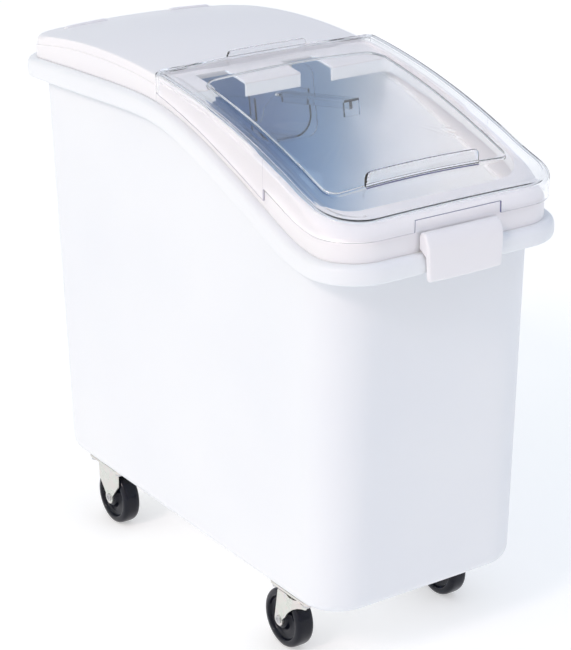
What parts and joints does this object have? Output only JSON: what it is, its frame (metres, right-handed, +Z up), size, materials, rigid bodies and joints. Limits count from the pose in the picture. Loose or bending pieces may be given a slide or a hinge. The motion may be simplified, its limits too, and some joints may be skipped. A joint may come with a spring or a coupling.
{
  "type": "ingredient bin",
  "caption": "White mobile ingredient bin with a sloped front, a lift-off lid, a clear sliding lid with finger grips, a front latch, a hanging clear scoop, and swivel and rigid casters.",
  "frame": {"origin": "centre of the outline box, at the floor under the wheels", "axes": "+Z up, -Y towards the front (the sloped opening and its latch), +X to the right as seen from the front"},
  "size_m": [0.333, 0.7492, 0.6882],
  "materials": {
    "white_pe": "satin, slightly bluish white rotomoulded or injected polyethylene",
    "white_lid": "satin white",
    "clear": "clear, glossy, faint blue",
    "clear_scoop": "clear, glossy",
    "wheel_black": "smooth black",
    "zinc": "bright zinc plate",
    "steel": "plain steel",
    "brass": "turned brass"
  },
  "bodies": {
    "tub": {"tub_body": "white_pe", "caster_inserts": "brass", "caster_bolts": "steel", "swivel_plates": "zinc", "upper_races": "zinc", "bearing_balls": "steel", "kingpins": "steel", "rigid_forks": "zinc", "rear_axles": "steel", "rear_axle_nuts": "steel"},
    "lid": {"lid_base": "white_lid", "scoop_hook": "white_lid", "hook_screws": "steel"},
    "clear_lid": {"sliding_lid": "clear"},
    "latch": {"front_latch": "white_lid", "latch_pin": "steel"},
    "scoop": {"scoop": "clear_scoop"},
    "swivel_left": {"fork_front_left": "zinc", "axle_front_left": "steel", "axle_nut_front_left": "steel"},
    "wheel_front_left": {"wheel_front_left": "wheel_black", "bushing_front_left": "steel"},
    "wheel_rear_left": {"wheel_rear_left": "wheel_black", "bushing_rear_left": "steel"},
    "swivel_right": {"fork_front_right": "zinc", "axle_front_right": "steel", "axle_nut_front_right": "steel"},
    "wheel_front_right": {"wheel_front_right": "wheel_black", "bushing_front_right": "steel"},
    "wheel_rear_right": {"wheel_rear_right": "wheel_black", "bushing_rear_right": "steel"}
  },
  "joints": [
    {"name": "lid_lift", "type": "slide", "parent": "tub", "child": "lid", "axis": [0, 0, 1], "range_m": [0, 0.06]},
    {"name": "clear_lid_slide", "type": "hinge", "parent": "lid", "child": "clear_lid", "pos_m": [0, 0.14305, -0.2034], "axis": [-1, 0, 0], "range_deg": [0, 19]},
    {"name": "latch_turn", "type": "hinge", "parent": "lid", "child": "latch", "pos_m": [0, -0.36145, 0.5571], "axis": [-1, 0, 0], "range_deg": [0, 75]},
    {"name": "scoop_lift", "type": "slide", "parent": "lid", "child": "scoop", "axis": [0, 0, 1], "range_m": [0, 0.008]},
    {"name": "swivel_left", "type": "hinge", "parent": "tub", "child": "swivel_left", "pos_m": [-0.117, -0.22595, 0.0816], "axis": [0, 0, 1], "continuous": true},
    {"name": "roll_front_left", "type": "hinge", "parent": "swivel_left", "child": "wheel_front_left", "pos_m": [-0.117, -0.19595, 0.038], "axis": [1, 0, 0], "continuous": true},
    {"name": "roll_rear_left", "type": "hinge", "parent": "tub", "child": "wheel_rear_left", "pos_m": [-0.117, 0.21505, 0.038], "axis": [1, 0, 0], "continuous": true},
    {"name": "swivel_right", "type": "hinge", "parent": "tub", "child": "swivel_right", "pos_m": [0.117, -0.22595, 0.0816], "axis": [0, 0, 1], "continuous": true},
    {"name": "roll_front_right", "type": "hinge", "parent": "swivel_right", "child": "wheel_front_right", "pos_m": [0.117, -0.19595, 0.038], "axis": [1, 0, 0], "continuous": true},
    {"name": "roll_rear_right", "type": "hinge", "parent": "tub", "child": "wheel_rear_right", "pos_m": [0.117, 0.21505, 0.038], "axis": [1, 0, 0], "continuous": true}
  ]
}
